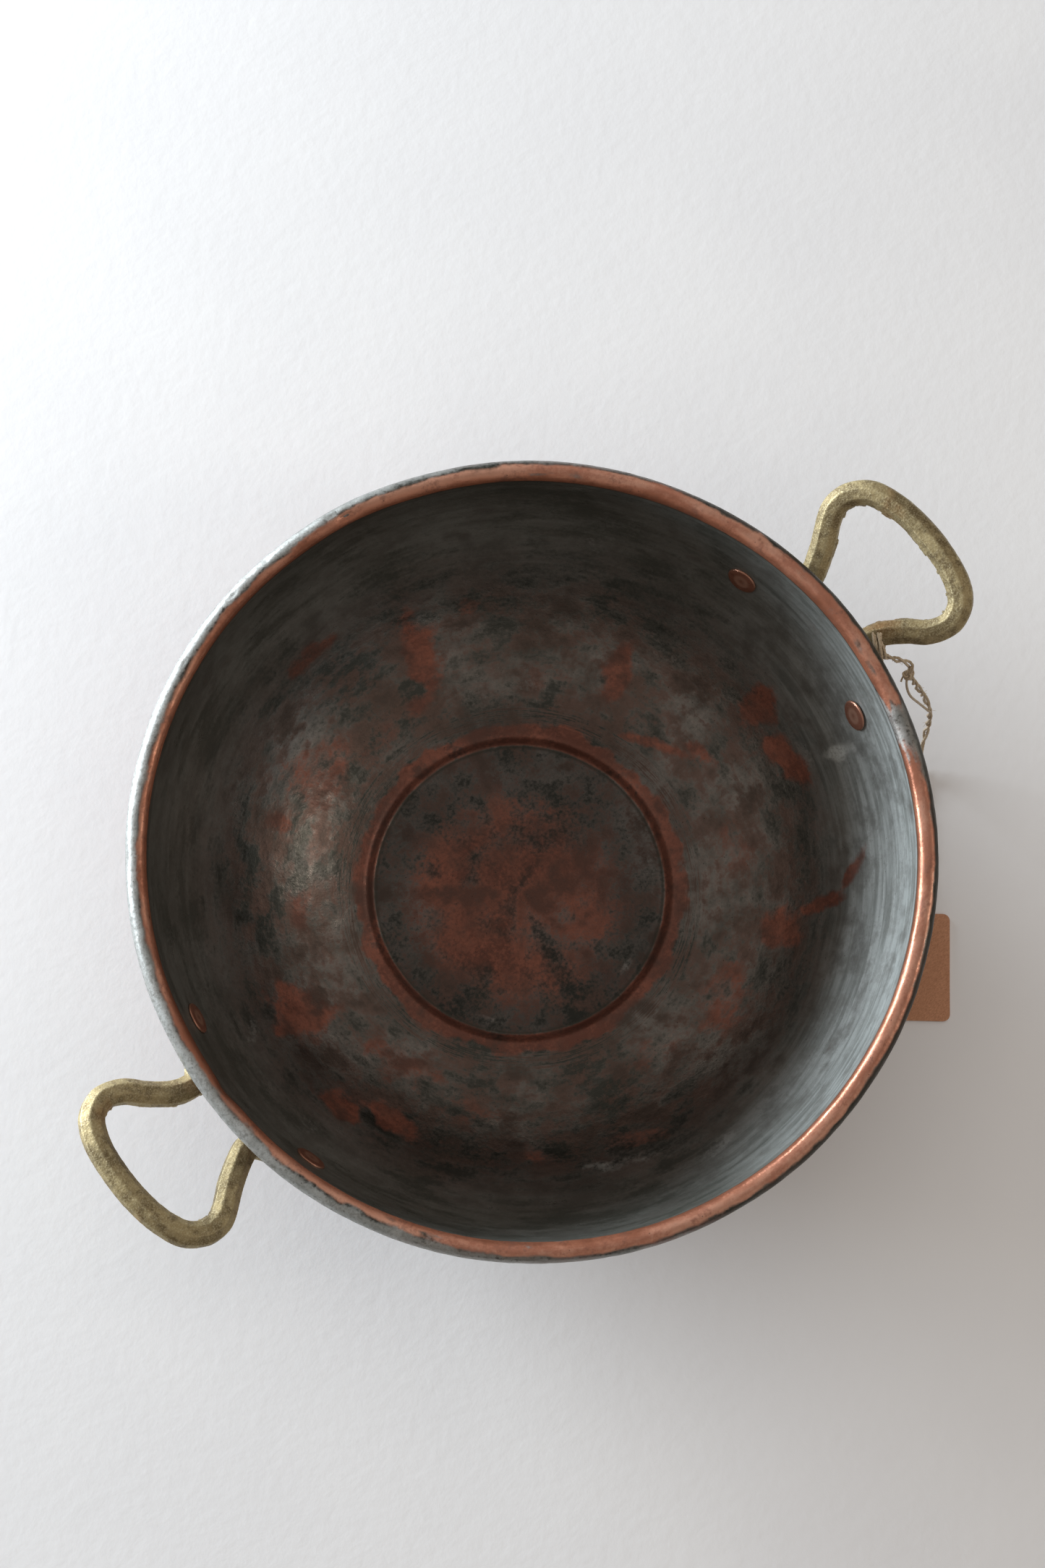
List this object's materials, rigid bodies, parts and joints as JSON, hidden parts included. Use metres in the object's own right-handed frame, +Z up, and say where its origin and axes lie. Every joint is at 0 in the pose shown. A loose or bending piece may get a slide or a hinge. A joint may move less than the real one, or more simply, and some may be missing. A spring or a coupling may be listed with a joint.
{
  "type": "two-handled tinned copper bowl",
  "caption": "Round tinned copper bowl with a stepped foot disc, a wired rim and two riveted cast brass loop handles, with a blank paper tag on twine.",
  "frame": {"origin": "centre of the foot disc's underside, on the bowl's axis", "axes": "+Z up along the bowl's axis out of its mouth, +X along the line through both handles, +Y to the back"},
  "size_m": [0.4194, 0.32, 0.1178],
  "materials": {
    "tinned_copper": "worn tin over copper, satin",
    "iron_wire": "plain drawn wire",
    "cast_brass": "sand cast, aged",
    "rivet_copper": "satin",
    "kraft_paper": "matte kraft",
    "jute_twine": "twisted jute"
  },
  "bodies": {
    "root": {"bowl_shell": "tinned_copper", "rim_wire": "iron_wire", "handle_right": "cast_brass", "handle_left": "cast_brass", "rivet_right_back": "rivet_copper", "rivet_right_front": "rivet_copper", "rivet_left_back": "rivet_copper", "rivet_left_front": "rivet_copper", "paper_tag": "kraft_paper", "tag_twine": "jute_twine"}
  },
  "joints": []
}
